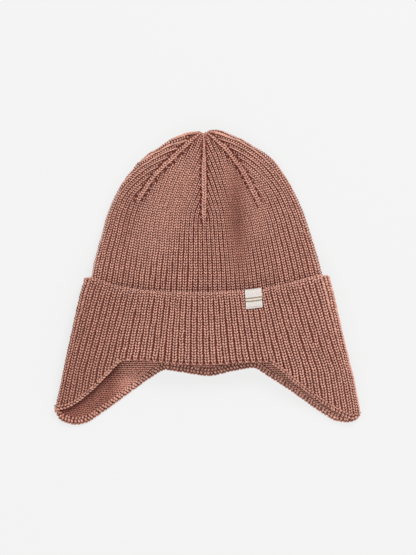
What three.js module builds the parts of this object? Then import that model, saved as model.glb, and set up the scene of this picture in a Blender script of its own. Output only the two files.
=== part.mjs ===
// A child's knitted earflap hat, lying on its back on a table as it was laid out flat.
// Millimetres. X runs across the hat, Y from the brim to the top of the crown, Z up from the table.
// The origin is on the table, under the middle of the hat.
//
// Three pieces: the crown, a hollow ribbed bag of six gores gathered at its top; the cuff, a thick
// ribbed band round the crown that ends in two earflaps; and a woven label folded over the cuff.

import * as THREE from "three";

// Driving sizes
const GORES = 6;
const RIBS_PER_GORE = 16;
const RIBS = GORES * RIBS_PER_GORE; // half of them are on the front
const CUFF_RIB_DEPTH = 0.9; // from a rib's back to the valley beside it
const CROWN_RIB_DEPTH = 0.6;
const SEAM_RIDGE = 0.7; // the line of decreases between two gores stands this proud
const CROWN_WALL = 3.2;
const CUFF_WALL = 4.8; // the band's two layers, folded at the top
const FLAP_WALL = 3.6; // the single layer of the flaps and the hem
const PRESS = 0.7; // how far the table flattens the back
const FOLD_SHARPNESS = 3.4; // power of the flattened tube's rounded side
const LABEL = { width: 14, drop: 13.4, thick: 0.6, x: 38.6, turn: 4.5, gap: 0.4, overFold: 100 };

// The crown's outline seen from above, from its lower edge, hidden in the cuff, to the gathered top
const CROWN_OUTLINE = [
  { leftX: -110.0, leftY: -48, rightX: 109.0, rightY: -48 },
  { leftX: -105.6, leftY: -27, rightX: 104.5, rightY: -27 },
  { leftX: -101.1, leftY: -8, rightX: 100.1, rightY: -8 },
  { leftX: -95.4, leftY: 18.7, rightX: 93.3, rightY: 18.7 },
  { leftX: -89.7, leftY: 39.1, rightX: 87.1, rightY: 39.1 },
  { leftX: -85.4, leftY: 54.4, rightX: 82.0, rightY: 54.4 },
  { leftX: -78.6, leftY: 69.7, rightX: 75.2, rightY: 69.7 },
  { leftX: -69.3, leftY: 85.0, rightX: 66.7, rightY: 85.0 },
  { leftX: -60.6, leftY: 96.0, rightX: 58.6, rightY: 96.6 },
  { leftX: -49.0, leftY: 106.0, rightX: 48.6, rightY: 106.2 },
  { leftX: -34.4, leftY: 115.6, rightX: 33.6, rightY: 115.6 },
  { leftX: -20.6, leftY: 122.2, rightX: 19.2, rightY: 122.0 },
  { leftX: -10.4, leftY: 124.9, rightX: 6.4, rightY: 126.3 },
  { leftX: -3.4, leftY: 123.7, rightX: -3.4, rightY: 123.7 },
];

// The crown's heights: fold is how far the side folds lie above the table, edge is half the
// thickness beside them, and dome is how far the middle of the front stands above that
const CROWN_HEIGHTS = [
  { y: -48, fold: 9.9, edge: 4.5, dome: 7.2 },
  { y: 3, fold: 9.9, edge: 4.6, dome: 7.3 },
  { y: 18, fold: 7.4, edge: 4.8, dome: 9.8 },
  { y: 34, fold: 4.5, edge: 5.0, dome: 13.0 },
  { y: 60, fold: 4.3, edge: 5.0, dome: 14.5 },
  { y: 85, fold: 4.3, edge: 5.0, dome: 12.5 },
  { y: 104, fold: 4.3, edge: 5.0, dome: 8.5 },
  { y: 117, fold: 4.3, edge: 5.0, dome: 4.5 },
  { y: 126, fold: 4.3, edge: 5.0, dome: 2.5 },
];
const GORE_TURN = -2 / RIBS; // the gores are turned round the crown by this share of its ring
const FRONT_SHIFT = 0.05; // and the middle of the front is drawn to the right by this place across
const NOSE = 0.93; // from this share of a rib's way up, the thickness rounds off to the gathered top

// Soft dents (positive) and bulges (negative) in the crown's front
const DENTS = [
  { x: 23, y: 60, depth: 5.2, across: 11, along: 40, lean: -0.06 },
  { x: -60, y: 55, depth: 2.2, across: 13, along: 38, lean: 0.22 },
  { x: -33, y: 66, depth: -1.8, across: 18, along: 34, lean: 0.1 },
  { x: 50, y: 50, depth: -1.6, across: 16, along: 34, lean: -0.2 },
];

// The crown's rows that keep every rib, as shares of a rib's way up. Above them each row ends one
// rib on both sides of every gore.
const PLAIN_ROWS = [0, 0.2, 0.3, 0.38, 0.45, 0.51, 0.57, 0.62];
const INNER_ROWS = [0, 0.2, 0.34, 0.46, 0.6, 0.73, 0.84, 0.92, 0.97];

// The cuff's side folds, its thickness beside them and the dome of its front
const CUFF_SECTIONS = [
  { y: 6, left: -103.2, right: 102.4, edge: 10.2, dome: 7.5 },
  { y: -2, left: -105.0, right: 104.2, edge: 10.2, dome: 7.5 },
  { y: -14, left: -108.6, right: 107.4, edge: 10.2, dome: 7.5 },
  { y: -58, left: -118.4, right: 117.4, edge: 10.2, dome: 7.5 },
  { y: -78, left: -122.8, right: 122.6, edge: 8.9, dome: 6.2 },
  { y: -98, left: -127.2, right: 127.0, edge: 6.9, dome: 3.6 },
  { y: -114, left: -130.5, right: 130.0, edge: 5.6, dome: 1.8 },
  { y: -128, left: -132.0, right: 131.4, edge: 5.2, dome: 1.0 },
];

// The front's ribs spread from one steady place across. They are even at evenY, closer above it and
// wider apart below it, by a share that grows with each millimetre up to a largest one
const SPREAD = { steady: -0.115, evenY: -46, perMm: 0.002, largest: 0.065 };

// The cuff's folded top: lowest in the middle, rising towards the side folds, with rounded corners
const CUFF_TOP = { frontMiddle: -15.1, backMiddle: -13.6 };
const CUFF_TOP_LEFT = { y: 0.6, power: 3.4 };
const CUFF_TOP_RIGHT = { y: 2.2, power: 2.3 };
const CUFF_CORNER = { from: 0.93, drop: 3 };

// The hem's lowest line on each face
const FRONT_HEM = [
  { x: -131.5, y: -113.5 },
  { x: -122.0, y: -111.4 },
  { x: -101.6, y: -97.8 },
  { x: -87.1, y: -83.3 },
  { x: -72.7, y: -70.8 },
  { x: -64.0, y: -70.6 },
  { x: -23.4, y: -74.0 },
  { x: -3.8, y: -74.8 },
  { x: 32.7, y: -72.6 },
  { x: 52.3, y: -72.3 },
  { x: 58.2, y: -74.8 },
  { x: 74.4, y: -88.4 },
  { x: 93.9, y: -103.1 },
  { x: 117.4, y: -117.6 },
  { x: 125.0, y: -120.6 },
  { x: 131.0, y: -118.5 },
];
const BACK_HEM = [
  { x: -131.5, y: -113.5 },
  { x: -126.2, y: -122.4 },
  { x: -113.5, y: -125.8 },
  { x: -105.0, y: -124.1 },
  { x: -96.5, y: -119.0 },
  { x: -66.7, y: -97.8 },
  { x: -49.7, y: -85.9 },
  { x: -37.0, y: -79.2 },
  { x: -24.2, y: -80.8 },
  { x: 1.3, y: -84.2 },
  { x: 22.5, y: -79.9 },
  { x: 39.5, y: -77.4 },
  { x: 52.3, y: -84.2 },
  { x: 73.5, y: -97.8 },
  { x: 103.3, y: -118.2 },
  { x: 111.8, y: -122.6 },
  { x: 121.0, y: -123.7 },
  { x: 127.6, y: -121.8 },
  { x: 131.0, y: -118.0 },
];

// The mesh's density
const CUFF_OUTER_ROWS = 7;
const CUFF_INNER_ROWS = 5;
const FOLD_STEPS = 4; // round the cuff's top
const HEM_STEPS = 2;
const HEM_ROUND = 1.2; // how far the rounded hem reaches past its walls
const LABEL_COLUMNS = 4;
const LABEL_FOLD_ROWS = 4;
const LABEL_FACE_ROWS = 4;

const KNIT_COLOUR = 0xa9776b;
const LABEL_COLOUR = 0xe3ddd6;

const mix = (a, b, share) => a + (b - a) * share;
const clamp = (value, low, high) => Math.min(high, Math.max(low, value));

// The slope of a table's column at row i that never overshoots: the harmonic mean of both sides
function slopeAt(rows, by, key, i) {
  const rise = (a, b) => (rows[b][key] - rows[a][key]) / (rows[b][by] - rows[a][by]);
  if (i === 0) return rise(0, 1);
  if (i === rows.length - 1) return rise(i - 1, i);
  const before = rise(i - 1, i);
  const after = rise(i, i + 1);
  return before * after <= 0 ? 0 : (2 * before * after) / (before + after);
}

// A table's column at a place between its rows, by a cubic whose slopes are slopeAt's
function column(rows, by, key, place) {
  const rising = rows[1][by] > rows[0][by];
  let i = 0;
  while (i < rows.length - 2 && (rising ? place > rows[i + 1][by] : place < rows[i + 1][by])) i += 1;
  const width = rows[i + 1][by] - rows[i][by];
  const t = clamp((place - rows[i][by]) / width, 0, 1);
  const start = rows[i][key];
  const end = rows[i + 1][key];
  const leave = slopeAt(rows, by, key, i) * width;
  const arrive = slopeAt(rows, by, key, i + 1) * width;
  const a = 2 * start - 2 * end + leave + arrive;
  const b = -3 * start + 3 * end - 2 * leave - arrive;
  return ((a * t + b) * t + leave) * t + start;
}

// A flattened tube: its front is face 1 and its back is face -1

// Share of the full thickness at a place across: 1 over the middle, and 0 at the side folds
const sideRound = (across) =>
  Math.max(0, 1 - Math.abs(across) ** FOLD_SHARPNESS) ** (1 / FOLD_SHARPNESS);

// Share of the dome's height at a place across
const domeShare = (across) => Math.max(0, 1 - across * across) ** 1.5;

function tubeHeight(across, face, { fold, edge, dome, floor }) {
  const height = fold + face * edge * sideRound(across);
  return face > 0 ? height + dome * domeShare(across) : Math.max(height, floor);
}

// Places at equal steps of cloth round a flattened tube. A share of 0 is the left side fold, 0.25
// the middle of the front, 0.5 the right side fold and 0.75 the middle of the back.
function clothPlaces(halfWidth, edge) {
  const fine = 800;
  const walked = [0];
  for (let i = 1; i <= fine; i += 1) {
    const a = mix(-1, 1, (i - 1) / fine);
    const b = mix(-1, 1, i / fine);
    walked.push(walked[i - 1] + Math.hypot((b - a) * halfWidth, (sideRound(b) - sideRound(a)) * edge));
  }
  return (share) => {
    const turned = (share + 1) % 1;
    const face = turned < 0.5 ? 1 : -1;
    const wanted = ((turned * 2) % 1) * walked[fine];
    const i = Math.max(1, walked.findIndex((distance) => distance >= wanted));
    const part = (wanted - walked[i - 1]) / (walked[i] - walked[i - 1]);
    return { across: face * mix(-1, 1, (i - 1 + part) / fine), face };
  };
}

// The crown

const outlineCurve = (side) =>
  new THREE.SplineCurve(
    CROWN_OUTLINE.map((row) => new THREE.Vector2(row[side + "X"], row[side + "Y"])),
  );
const CROWN_SIDES = { left: outlineCurve("left"), right: outlineCurve("right") };
const CROWN_FOOT = CROWN_OUTLINE[0];
const CROWN_TOP = CROWN_OUTLINE[CROWN_OUTLINE.length - 1];
const crownCloth = clothPlaces(95, 5);

function crownPlace(share) {
  const { across, face } = crownCloth(share + GORE_TURN);
  const shift = face > 0 ? FRONT_SHIFT * (1 - across * across) ** 3 : 0;
  return { across: across + shift, face };
}

function dentDepth(x, y) {
  return DENTS.reduce((sum, dent) => {
    const alongShare = (y - dent.y) / dent.along;
    const acrossShare = (x - dent.x - dent.lean * (y - dent.y)) / dent.across;
    return sum + dent.depth * Math.exp(-alongShare * alongShare - acrossShare * acrossShare);
  }, 0);
}

// A point of the crown: along runs from 0 at the lower edge to 1 at the gathered top, and inset
// moves it into the wall. In plan it lies between the crown's middle line and its outline.
function crownPoint({ across, face }, along, inset) {
  const curve = across < 0 ? CROWN_SIDES.left : CROWN_SIDES.right;
  const way = curve.getTangentAt(along);
  const inward = across < 0 ? new THREE.Vector2(way.y, -way.x) : new THREE.Vector2(-way.y, way.x);
  const side = curve.getPointAt(along).addScaledVector(inward, inset);
  const topShare = clamp(along * 2 - 0.6, 0, 1);
  const plan = new THREE.Vector2(
    mix((CROWN_FOOT.leftX + CROWN_FOOT.rightX) / 2, CROWN_TOP.leftX, topShare),
    mix(CROWN_FOOT.leftY, CROWN_TOP.leftY - inset, along),
  ).lerp(side, Math.abs(across));
  const noseShare = clamp((along - NOSE) / (1 - NOSE), 0, 1);
  const nose = Math.sqrt(1 - noseShare * noseShare);
  const at = (key) => column(CROWN_HEIGHTS, "y", key, plan.y);
  const edge = (at("edge") - inset) * nose;
  const dome = at("dome") * nose;
  const floor = inset === CROWN_WALL ? CROWN_WALL : 0;
  const dent = face > 0 ? dentDepth(plan.x, plan.y) * nose * (1 - across ** 4) : 0;
  const z = tubeHeight(across, face, { fold: at("fold"), edge, dome, floor }) - dent;
  return new THREE.Vector3(plan.x, plan.y, z);
}

// The outside: one ring of points, a point on each rib and one in each valley. The first point of
// each gore is on its line of decreases. A point's key tells which rib of the gore it is on.
function crownOuterRing(along, ribsPerGore) {
  const full = RIBS_PER_GORE * 2;
  const count = ribsPerGore * 2;
  const ridge = SEAM_RIDGE * clamp((along - 0.58) / 0.06, 0, 1) * clamp((1 - along) / 0.1, 0, 1);
  return Array.from({ length: GORES * count }, (_, k) => {
    const gore = Math.floor(k / count);
    const i = k % count;
    const share = (gore + i / count + 0.5) / GORES;
    const inset = i === 0 ? -ridge : (i % 2) * CROWN_RIB_DEPTH;
    const key = gore * full + (i === 0 ? -full / 2 : i - count / 2);
    return { point: crownPoint(crownPlace(share), along, inset), key };
  });
}

function crownInnerRing(along) {
  return Array.from({ length: RIBS }, (_, i) => {
    const place = crownPlace(i / RIBS + 0.5 / GORES);
    return { point: crownPoint(place, along, CROWN_WALL), key: i * 2 - RIBS_PER_GORE };
  });
}

function crownGeometry() {
  const top = (inset) => [{ point: crownPoint({ across: 0, face: 1 }, 1, inset), key: 0 }];
  const lastPlain = PLAIN_ROWS[PLAIN_ROWS.length - 1];
  const steps = RIBS_PER_GORE / 2;
  const decreasing = Array.from({ length: steps - 1 }, (_, k) =>
    crownOuterRing(mix(lastPlain, 1, (k + 1) / steps), RIBS_PER_GORE - 2 * (k + 1)),
  );
  const rings = [
    top(CROWN_WALL),
    ...INNER_ROWS.map(crownInnerRing).reverse(),
    ...PLAIN_ROWS.map((along) => crownOuterRing(along, RIBS_PER_GORE)),
    ...decreasing,
    top(0),
  ];
  return ringGeometry(rings, false);
}

// The cuff with its earflaps

// How far the spread moves a rib of the front from its place across, at a height y
function spreadAt(across, y) {
  const share = Math.min(SPREAD.largest, SPREAD.perMm * (SPREAD.evenY - y));
  return share * (across - SPREAD.steady) * (1 - across ** 4);
}

function cuffHeight(x, y, face, inset) {
  const at = (key) => column(CUFF_SECTIONS, "y", key, y);
  const half = (at("right") - at("left")) / 2 - inset;
  const across = clamp((x - (at("right") + at("left")) / 2) / half, -1, 1);
  const edge = at("edge") - inset;
  const floor = inset > CUFF_RIB_DEPTH ? inset : 0;
  return tubeHeight(across, face, { fold: at("edge") - PRESS, edge, dome: at("dome"), floor });
}

// Where a rib stands at a height y
function cuffX({ across, face }, y, inset) {
  const at = (key) => column(CUFF_SECTIONS, "y", key, y);
  const place = face > 0 ? across + spreadAt(across, y) : across;
  return (at("right") + at("left")) / 2 + place * ((at("right") - at("left")) / 2 - inset);
}

function cuffPoint(place, y, inset) {
  const x = cuffX(place, y, inset);
  return new THREE.Vector3(x, y, cuffHeight(x, y, place.face, inset));
}

function cuffTopY({ across, face }) {
  const middle = face > 0 ? CUFF_TOP.frontMiddle : CUFF_TOP.backMiddle;
  const side = across < 0 ? CUFF_TOP_LEFT : CUFF_TOP_RIGHT;
  const corner = THREE.MathUtils.smoothstep(Math.abs(across), CUFF_CORNER.from, 1);
  return mix(middle, side.y, Math.abs(across) ** side.power) - CUFF_CORNER.drop * corner;
}

// The height at which a rib meets the hem's line, found by going there in a few steps
function hemY(place) {
  const line = place.face > 0 ? FRONT_HEM : BACK_HEM;
  let y = line[0].y;
  for (let step = 0; step < 12; step += 1) y = column(line, "x", "y", cuffX(place, y, 0));
  return y + HEM_ROUND;
}

// The band is double down to the crown's hidden edge, and thins below it to the single layer
const cuffWall = (y) => mix(CUFF_WALL, FLAP_WALL, clamp((CROWN_FOOT.leftY - y) / 10, 0, 1));

// Points that round a wall off from one face to the other, bulging in a direction by reach
function roundedEdge(from, to, direction, reach, steps) {
  const centre = from.clone().lerp(to, 0.5);
  const half = from.clone().sub(centre);
  return Array.from({ length: steps - 1 }, (_, i) => {
    const angle = (Math.PI * (i + 1)) / steps;
    const point = centre.clone().addScaledVector(half, Math.cos(angle));
    return point.addScaledVector(direction, reach * Math.sin(angle));
  });
}

// One rib or valley as a loop: up the outside, over the folded top, down the inside, round the hem
function cuffLoop(place, columnIndex) {
  const top = cuffTopY(place);
  const hem = hemY(place);
  const ribInset = (columnIndex % 2) * CUFF_RIB_DEPTH;
  const outer = Array.from({ length: CUFF_OUTER_ROWS }, (_, i) =>
    cuffPoint(place, mix(hem, top, i / (CUFF_OUTER_ROWS - 1)), ribInset),
  );
  const inner = Array.from({ length: CUFF_INNER_ROWS }, (_, i) => {
    const y = mix(top, hem, i / (CUFF_INNER_ROWS - 1));
    return cuffPoint(place, y, cuffWall(y));
  });
  const up = new THREE.Vector3(0, 1, 0);
  const down = new THREE.Vector3(0, -1, 0);
  const fold = roundedEdge(outer[CUFF_OUTER_ROWS - 1], inner[0], up, CUFF_WALL / 2, FOLD_STEPS);
  const hemRound = roundedEdge(inner[CUFF_INNER_ROWS - 1], outer[0], down, HEM_ROUND, HEM_STEPS);
  return [...outer, ...fold, ...inner, ...hemRound];
}

function cuffGeometry() {
  const place = clothPlaces(112, 10);
  const columns = RIBS * 2;
  const loops = Array.from({ length: columns }, (_, i) => cuffLoop(place(i / columns), i));
  const firstInner = CUFF_OUTER_ROWS + FOLD_STEPS - 1;
  const rings = loops[0].map((_, j) => {
    const isInner = j >= firstInner && j < firstInner + CUFF_INNER_ROWS;
    const ring = loops.map((loop, i) => ({ point: loop[j], key: i }));
    return isInner ? ring.filter((entry) => entry.key % 2 === 0) : ring;
  });
  return ringGeometry(rings, true);
}

// The label, a woven strip folded over the cuff's top. Proud is its distance from the cuff.

// The height of the cuff's folded top at x, found by stepping to the place across that stands there
function foldYAt(x) {
  const place = { across: 0, face: 1 };
  for (let step = 0; step < 12; step += 1) {
    place.across += (x - cuffX(place, cuffTopY(place), 0)) / CUFF_SECTIONS[0].right;
  }
  return cuffTopY(place);
}

function labelLine(across, proud) {
  const turn = THREE.MathUtils.degToRad(LABEL.turn);
  const foldX = LABEL.x + across * Math.cos(turn);
  const foldY = foldYAt(foldX);
  const radius = CUFF_WALL / 2 + proud;
  const overFold = Array.from({ length: LABEL_FOLD_ROWS }, (_, i) => {
    const angle = THREE.MathUtils.degToRad(LABEL.overFold) * (1 - i / LABEL_FOLD_ROWS);
    const z = cuffHeight(foldX, foldY, 1, 0) - CUFF_WALL / 2;
    return new THREE.Vector3(foldX, foldY + radius * Math.sin(angle), z + radius * Math.cos(angle));
  });
  const face = Array.from({ length: LABEL_FACE_ROWS }, (_, i) => {
    const drop = (LABEL.drop * i) / (LABEL_FACE_ROWS - 1);
    const x = foldX + drop * Math.sin(turn);
    const y = foldY - drop * Math.cos(turn);
    return new THREE.Vector3(x, y, cuffHeight(x, y, 1, 0) + proud);
  });
  return [...overFold, ...face];
}

function labelGeometry() {
  const spread = Array.from({ length: LABEL_COLUMNS + 1 }, (_, i) =>
    mix(-LABEL.width / 2, LABEL.width / 2, i / LABEL_COLUMNS),
  );
  const outside = spread.map((across) => labelLine(across, LABEL.gap + LABEL.thick));
  const inside = spread.map((across) => labelLine(across, LABEL.gap)).reverse();
  const lines = [...outside, ...inside];
  const rings = lines[0].map((_, j) => lines.map((line, i) => ({ point: line[j], key: i })));
  return ringGeometry(rings.reverse(), false);
}

// Meshes from rings of points. The keys in a ring rise, and say what lies opposite what.

// Triangles between two closed rings, taking the nearer next step on either side in turn
function zip(lower, upper, period, faces) {
  const steps = (ring) => (ring.length > 1 ? ring.length : 0);
  const keyAt = (ring, k) => ring[k % ring.length].key + period * Math.floor(k / ring.length);
  const indexAt = (ring, k) => ring[k % ring.length].index;
  let i = 0;
  let j = 0;
  while (i < steps(lower) || j < steps(upper)) {
    const lowerNext = keyAt(lower, i) + keyAt(lower, i + 1);
    const upperNext = keyAt(upper, j) + keyAt(upper, j + 1);
    const here = [indexAt(lower, i), indexAt(upper, j)];
    if (j === steps(upper) || (i < steps(lower) && lowerNext <= upperNext)) {
      i += 1;
      faces.push(here[0], indexAt(lower, i), here[1]);
    } else {
      j += 1;
      faces.push(here[0], indexAt(upper, j), here[1]);
    }
  }
}

// Flat triangles over the end of a strip, whose ring is its outside and then its inside
function capStrip(ring, faces) {
  const last = ring.length - 1;
  for (let i = 0; i < ring.length / 2 - 1; i += 1) {
    const corners = [i, i + 1, last - i - 1, last - i].map((k) => ring[k].index);
    faces.push(corners[0], corners[2], corners[1], corners[0], corners[3], corners[2]);
  }
}

// A closed body from rings: a loop of rings, rings between two poles, or a strip with flat ends
function ringGeometry(rings, looped) {
  const points = [];
  for (const ring of rings) {
    for (const entry of ring) {
      entry.index = points.length;
      points.push(entry.point);
    }
  }
  const faces = [];
  const longest = Math.max(...rings.map((ring) => ring.length));
  for (let j = 1; j < rings.length; j += 1) zip(rings[j - 1], rings[j], longest, faces);
  if (looped) zip(rings[rings.length - 1], rings[0], longest, faces);
  if (!looped && rings[0].length > 1) {
    const flipped = [];
    capStrip(rings[0], faces);
    capStrip(rings[rings.length - 1], flipped);
    faces.push(...flipped.reverse());
  }
  const geometry = new THREE.BufferGeometry().setFromPoints(points);
  geometry.setIndex(faces);
  geometry.computeVertexNormals();
  return geometry;
}

function piece(name, geometry, colour, roughness) {
  const material = new THREE.MeshStandardMaterial({ color: colour, roughness, metalness: 0 });
  const mesh = new THREE.Mesh(geometry, material);
  mesh.name = name;
  return mesh;
}

const hat = new THREE.Group();
hat.add(piece("crown", crownGeometry(), KNIT_COLOUR, 0.95));
hat.add(piece("cuff", cuffGeometry(), KNIT_COLOUR, 0.95));
hat.add(piece("label", labelGeometry(), LABEL_COLOUR, 0.85));

export default hat;
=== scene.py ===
# %% [markdown]
# A child's knitted earflap hat, lying on its back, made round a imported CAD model. The CAD model has
# three plain solids: the crown, the cuff and the label. Each is replaced here by finer pieces.
# A knitted cloth could be a smooth surface with a bump pattern, but the ribs and the V shaped
# stitches of this hat are large enough to show in its outline and in the light, so each stitch is
# real geometry: two short bent strands of yarn, laid on the same formulas that shape the CAD model.

import bpy
import numpy as np
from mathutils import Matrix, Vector


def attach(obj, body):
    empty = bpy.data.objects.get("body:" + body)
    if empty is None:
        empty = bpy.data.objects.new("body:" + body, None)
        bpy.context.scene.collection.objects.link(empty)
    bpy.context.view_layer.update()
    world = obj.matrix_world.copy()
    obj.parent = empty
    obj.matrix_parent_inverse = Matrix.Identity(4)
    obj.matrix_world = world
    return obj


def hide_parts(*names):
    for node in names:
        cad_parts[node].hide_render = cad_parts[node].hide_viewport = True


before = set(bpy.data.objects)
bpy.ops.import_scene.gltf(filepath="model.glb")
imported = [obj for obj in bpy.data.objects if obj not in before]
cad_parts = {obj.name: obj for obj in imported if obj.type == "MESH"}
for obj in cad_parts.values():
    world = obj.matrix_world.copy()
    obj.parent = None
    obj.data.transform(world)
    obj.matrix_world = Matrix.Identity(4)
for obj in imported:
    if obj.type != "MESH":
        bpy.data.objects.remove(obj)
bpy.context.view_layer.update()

# %% [markdown]
# Driving sizes, in millimetres as on a knitting pattern. They become metres only when a mesh is
# made. A rib is counted round the hat from its left side fold, over the front and back along the
# rear, so rib 24 stands in the middle of the front and rib 48 near the right side fold. The back
# is a little fuller than the front, which takes SIDE_RIBS fewer ribs at both its sides. LINES are
# the ribs at which one gore of the crown meets the next.

# %% Driving sizes
MM = 0.001
GORES = 6
RIBS_PER_GORE = 16
RIBS = GORES * RIBS_PER_GORE
HALF = RIBS // 2
SIDE_RIBS = 1.25
FIRST_LINE = 6.6
LINES = FIRST_LINE + RIBS_PER_GORE * np.arange(GORES)
FRONT_GORES = (0, 1, 2, 5)
FRONT_SHIFT = 0.05
ROW = 2.25
CROWN_WALL = 3.2
CUFF_WALL = 4.8
FLAP_WALL = 3.6
PRESS = 0.7
FOLD_SHARPNESS = 3.4
NOSE = 0.93
FOLD_RADIUS = CUFF_WALL / 2
CROWN_FOOT = -48
rng = np.random.default_rng(11)


def table(names, rows):
    """A short table as named columns of numbers."""
    return dict(zip(names.split(), np.array(rows, float).T))


# %% [markdown]
# The outline and the heights come from short tables. Between two rows a cubic runs whose slope at
# each row is the harmonic mean of the slopes on both sides, which never overshoots. A spline
# through the points would be simpler, but it bulges next to a sudden change.


# %% Smooth tables
def column(rows, by, key, place):
    """Cubic through a table: slope at a row = 2ab/(a+b) of its neighbours' rises, 0 at a peak."""
    at, value = rows[by], rows[key]
    rise = np.diff(value) / np.diff(at)
    before, after = rise[:-1], rise[1:]
    both = np.where(before * after > 0, before + after, 1)
    inner = np.where(before * after > 0, 2 * before * after / both, 0)
    slope = np.concatenate([rise[:1], inner, rise[-1:]])
    i = np.clip(np.searchsorted(at, place) - 1, 0, len(at) - 2)
    width = at[i + 1] - at[i]
    t = np.clip((place - at[i]) / width, 0, 1)
    start, end = value[i], value[i + 1]
    leave, arrive = slope[i] * width, slope[i + 1] * width
    a = 2 * start - 2 * end + leave + arrive
    b = -3 * start + 3 * end - 2 * leave - arrive
    return ((a * t + b) * t + leave) * t + start


def mix(a, b, share):
    """The value that lies at a share of the way from a to b."""
    return a + (b - a) * share


def walked_along(points):
    """The length walked from the first of some points to each of them."""
    return np.concatenate([[0], np.cumsum(np.linalg.norm(np.diff(points, axis=0), axis=1))])


def unit(vectors):
    """The same directions at length 1."""
    return vectors / np.maximum(np.linalg.norm(vectors, axis=-1, keepdims=True), 1e-9)


def smoothstep(value, low, high):
    """3t^2 - 2t^3 of the share of the way from low to high."""
    t = np.clip((value - low) / (high - low), 0, 1)
    return t * t * (3 - 2 * t)


def patches(rows, x, y, power=2):
    """The sum of soft patches, each amount * exp(-|across|^p - |along|^p) about its leaning line."""
    patch = {key: value[:, None] for key, value in rows.items()}
    along = (y.ravel() - patch["y"]) / patch["along"]
    across = (x.ravel() - patch["x"] - patch["lean"] * (y.ravel() - patch["y"])) / patch["across"]
    return (patch["amount"] * np.exp(-along**power - across**power)).sum(0).reshape(np.shape(x))


CROWN_OUTLINE = table("leftX leftY rightX rightY", [
    (-110.0, CROWN_FOOT, 109.0, CROWN_FOOT), (-105.6, -27, 104.5, -27), (-101.1, -8, 100.1, -8),
    (-95.4, 18.7, 93.3, 18.7), (-89.7, 39.1, 87.1, 39.1), (-85.4, 54.4, 82.0, 54.4),
    (-78.6, 69.7, 75.2, 69.7), (-69.3, 85.0, 66.7, 85.0), (-60.6, 96.0, 58.6, 96.6),
    (-49.0, 106.0, 48.6, 106.2), (-34.4, 115.6, 33.6, 115.6), (-20.6, 122.2, 19.2, 122.0),
    (-10.4, 124.4, 6.4, 125.6), (-3.4, 123.7, -3.4, 123.7)])
CROWN_HEIGHTS = table("y fold edge dome", [
    (CROWN_FOOT, 9.9, 4.5, 7.2), (3, 9.9, 4.6, 7.3), (18, 7.4, 4.8, 9.8), (34, 4.5, 5.0, 13.0),
    (60, 4.3, 5.0, 14.5), (85, 4.3, 5.0, 12.5), (104, 4.3, 5.0, 8.5), (117, 4.3, 5.0, 4.5),
    (126, 4.3, 5.0, 2.5)])
DENTS = table("x y amount across along lean", [
    (23, 60, 5.2, 11, 40, -0.06), (-60, 55, 2.2, 13, 38, 0.22), (-33, 66, -1.8, 18, 34, 0.1),
    (50, 50, -1.6, 16, 34, -0.2)])
CUFF_SECTIONS = table("y left right edge dome", [
    (-128, -132.0, 131.4, 5.2, 1.0), (-114, -130.5, 130.0, 5.6, 1.8), (-98, -127.2, 127.0, 6.9, 3.6),
    (-78, -122.8, 122.6, 8.9, 6.2), (-58, -118.4, 117.4, 10.2, 7.5), (-14, -108.6, 107.4, 10.2, 7.5),
    (-2, -105.0, 104.2, 10.2, 7.5), (6, -103.2, 102.4, 10.2, 7.5)])
FRONT_HEM = table("x y", [
    (-131.5, -113.5), (-122.0, -111.4), (-101.6, -97.8), (-87.1, -83.3), (-72.7, -70.8),
    (-64.0, -70.6), (-23.4, -74.0), (-3.8, -74.8), (32.7, -72.6), (52.3, -72.3), (58.2, -74.8),
    (74.4, -88.4), (93.9, -103.1), (117.4, -117.6), (125.0, -120.6), (131.0, -118.5)])
BACK_HEM = table("x y", [
    (-131.5, -113.5), (-126.2, -122.4), (-113.5, -125.8), (-105.0, -124.1), (-96.5, -119.0),
    (-66.7, -97.8), (-49.7, -85.9), (-37.0, -79.2), (-24.2, -80.8), (1.3, -84.2), (22.5, -79.9),
    (39.5, -77.4), (52.3, -84.2), (73.5, -97.8), (103.3, -118.2), (111.8, -122.6),
    (121.0, -123.7), (127.6, -121.8), (131.0, -118.0)])


# %% [markdown]
# Both the crown and the cuff are flattened tubes. Their cross-section is a rounded slab with a low
# dome on its front. A place on it is a number of ribs, and ribs take equal lengths of cloth, so
# they crowd together where the cloth turns down over a side fold, as they do on the real hat.


# %% The flattened tube
def side_round(across):
    """(1 - |across|^p)^(1/p): 1 over the middle of the tube and 0 at its side folds."""
    return np.maximum(0, 1 - np.abs(across) ** FOLD_SHARPNESS) ** (1 / FOLD_SHARPNESS)


def tube_height(across, face, fold, edge, dome, floor):
    """fold +- edge * side_round, with dome * (1 - across^2)^1.5 on the front, never under floor."""
    height = fold + face * edge * side_round(across)
    front = height + dome * np.maximum(0, 1 - across * across) ** 1.5
    return np.where(face > 0, front, np.maximum(height, floor))


def cloth_places(half_width, edge, fine=1600):
    """A function from a rib's number to its place across, at equal lengths of cloth."""
    across = np.linspace(-1, 1, fine + 1)
    steps = np.hypot(np.diff(across) * half_width, np.diff(side_round(across)) * edge)
    walked = np.concatenate([[0], np.cumsum(steps)])

    def place(rib):
        past = np.mod(rib - SIDE_RIBS, RIBS)
        front = HALF - 2 * SIDE_RIBS
        face = np.where(past < front, 1.0, -1.0)
        share = np.where(past < front, past / front, (past - front) / (RIBS - front))
        return face * np.interp(share * walked[-1], walked, across), face

    return place


# %% [markdown]
# The crown's side is a Catmull-Rom curve through the outline's points. Each course of knitting
# joins the same share of the way along both sides, and the points between lie on straight lines
# from the crown's middle line, which is how the courses of a flat-laid hat run.


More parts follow.
